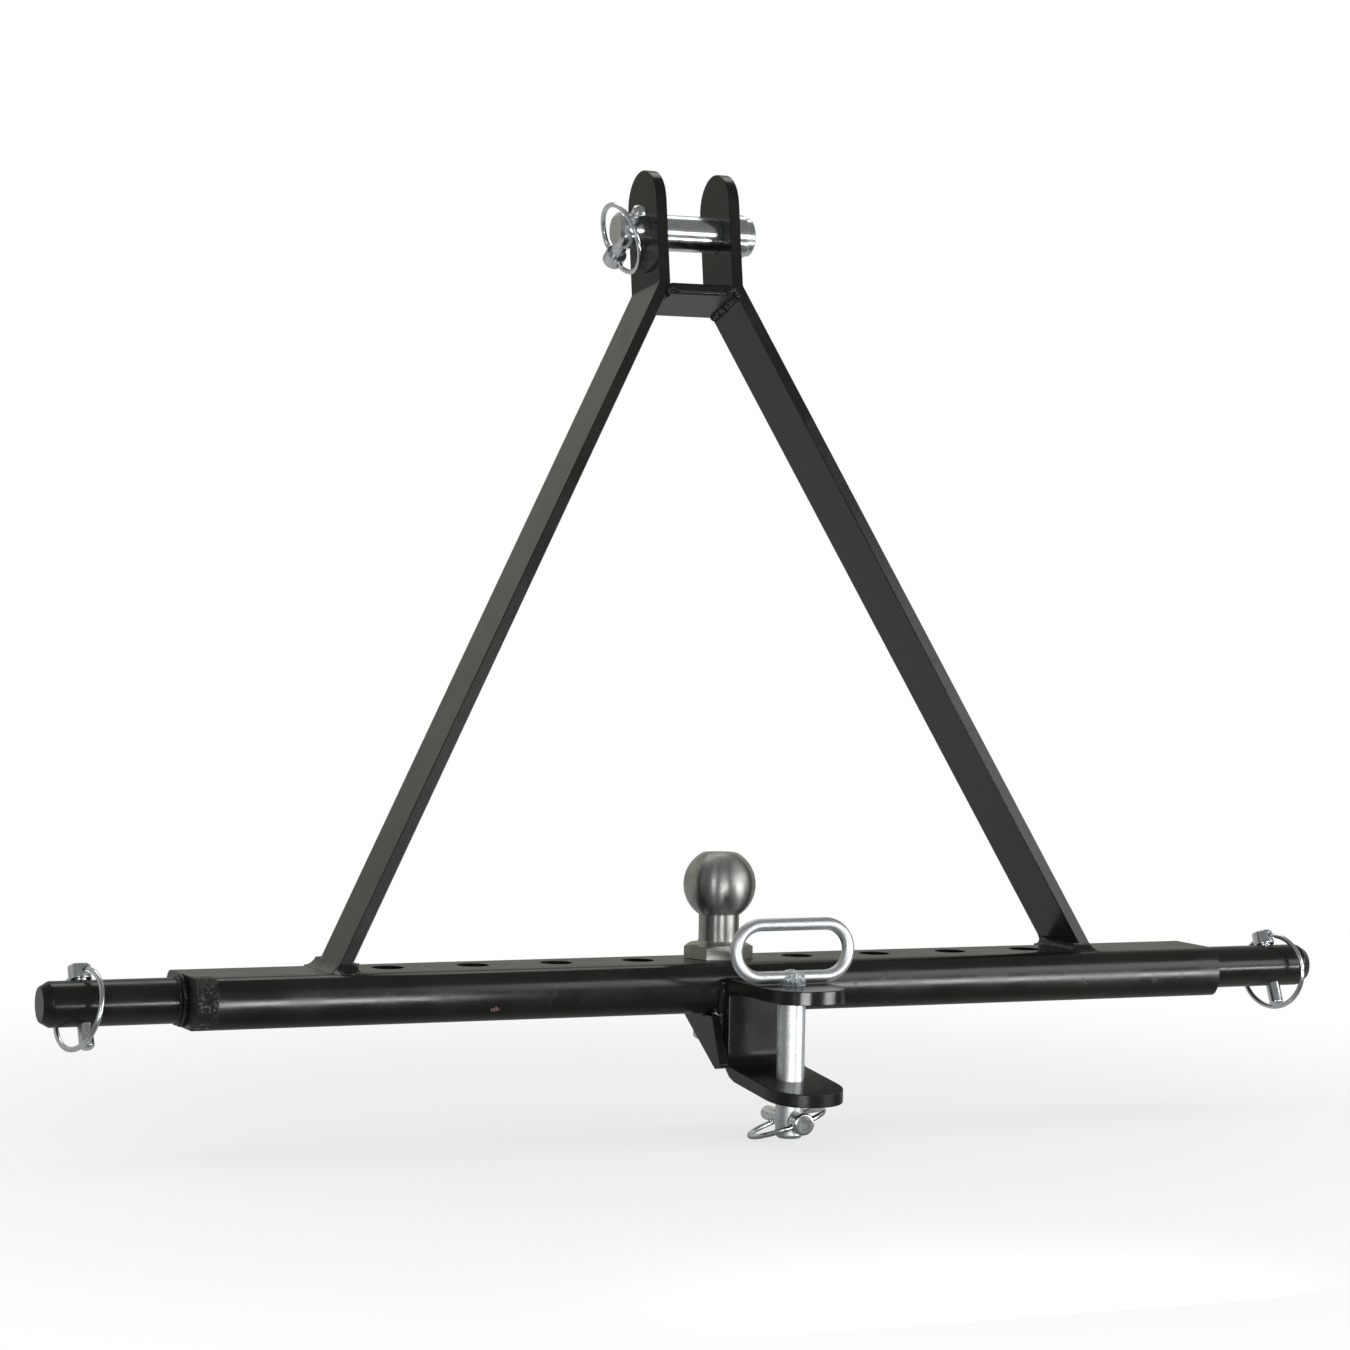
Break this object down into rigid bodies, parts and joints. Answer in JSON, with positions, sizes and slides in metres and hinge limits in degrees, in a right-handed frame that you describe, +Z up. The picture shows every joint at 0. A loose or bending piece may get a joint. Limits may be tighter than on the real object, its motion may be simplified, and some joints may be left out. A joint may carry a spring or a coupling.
{
  "type": "tractor drawbar",
  "caption": "Drilled drawbar for a three-point hitch, with an A-frame and top link pin, a tow ball, and a clevis jaw with a drop pin, held by linchpins.",
  "frame": {"origin": "on the lower link pins' axis, midway along the cross bar", "axes": "+X right along the cross bar, +Y towards the tractor, +Z up"},
  "size_m": [0.956, 0.2435, 0.662],
  "materials": {
    "black_paint": "black gloss paint",
    "painted_weld": "black gloss paint over rippled weld beads",
    "zinc_plate": "bright zinc plate",
    "turned_steel": "plain turned steel"
  },
  "bodies": {
    "frame": {"left_pin_weld": "painted_weld", "right_pin_weld": "painted_weld", "left_foot_weld": "painted_weld", "right_foot_weld": "painted_weld", "left_crosspiece_weld": "painted_weld", "right_crosspiece_weld": "painted_weld", "cross_bar": "black_paint", "left_link_pin": "black_paint", "right_link_pin": "black_paint", "left_side_rail": "black_paint", "right_side_rail": "black_paint", "top_crosspiece": "black_paint", "clevis_jaw": "black_paint", "left_gusset": "black_paint", "right_gusset": "black_paint", "tow_ball": "turned_steel", "ball_spring_washer": "zinc_plate", "ball_nut": "zinc_plate", "left_linch_peg": "zinc_plate", "right_linch_peg": "zinc_plate"},
    "top_pin": {"top_link_pin": "zinc_plate", "top_linch_peg": "zinc_plate"},
    "drop_pin": {"drop_pin": "zinc_plate", "drop_pin_handle": "zinc_plate", "handle_front_weld": "zinc_plate", "handle_rear_weld": "zinc_plate", "drop_linch_peg": "zinc_plate"},
    "left_ring": {"left_linch_ring": "zinc_plate"},
    "right_ring": {"right_linch_ring": "zinc_plate"},
    "top_ring": {"top_linch_ring": "zinc_plate"},
    "drop_ring": {"drop_linch_ring": "zinc_plate"}
  },
  "joints": [
    {"name": "top_pin_spin", "type": "hinge", "parent": "frame", "child": "top_pin", "pos_m": [0, 0.07879, 0.52196], "axis": [1, 0, 0], "continuous": true},
    {"name": "drop_pin_spin", "type": "hinge", "parent": "frame", "child": "drop_pin", "pos_m": [0.0145, -0.087, 0], "axis": [0, 0, 1], "continuous": true},
    {"name": "left_ring_flip", "type": "hinge", "parent": "frame", "child": "left_ring", "pos_m": [-0.4495, 0.00836, 0.01877], "axis": [-0.342, 0.8585, -0.3822], "range_deg": [0, 255]},
    {"name": "right_ring_flip", "type": "hinge", "parent": "frame", "child": "right_ring", "pos_m": [0.4495, 0.00836, 0.01877], "axis": [0.342, -0.8585, 0.3822], "range_deg": [0, 255]},
    {"name": "top_ring_flip", "type": "hinge", "parent": "top_pin", "child": "top_ring", "pos_m": [-0.043, 0.10366, 0.50519], "axis": [0.309, -0.5318, -0.7885], "range_deg": [0, 180]},
    {"name": "drop_ring_flip", "type": "hinge", "parent": "drop_pin", "child": "drop_ring", "pos_m": [0.0145, -0.1055, -0.083], "axis": [-0.9511, 0, -0.309], "range_deg": [0, 180]}
  ]
}
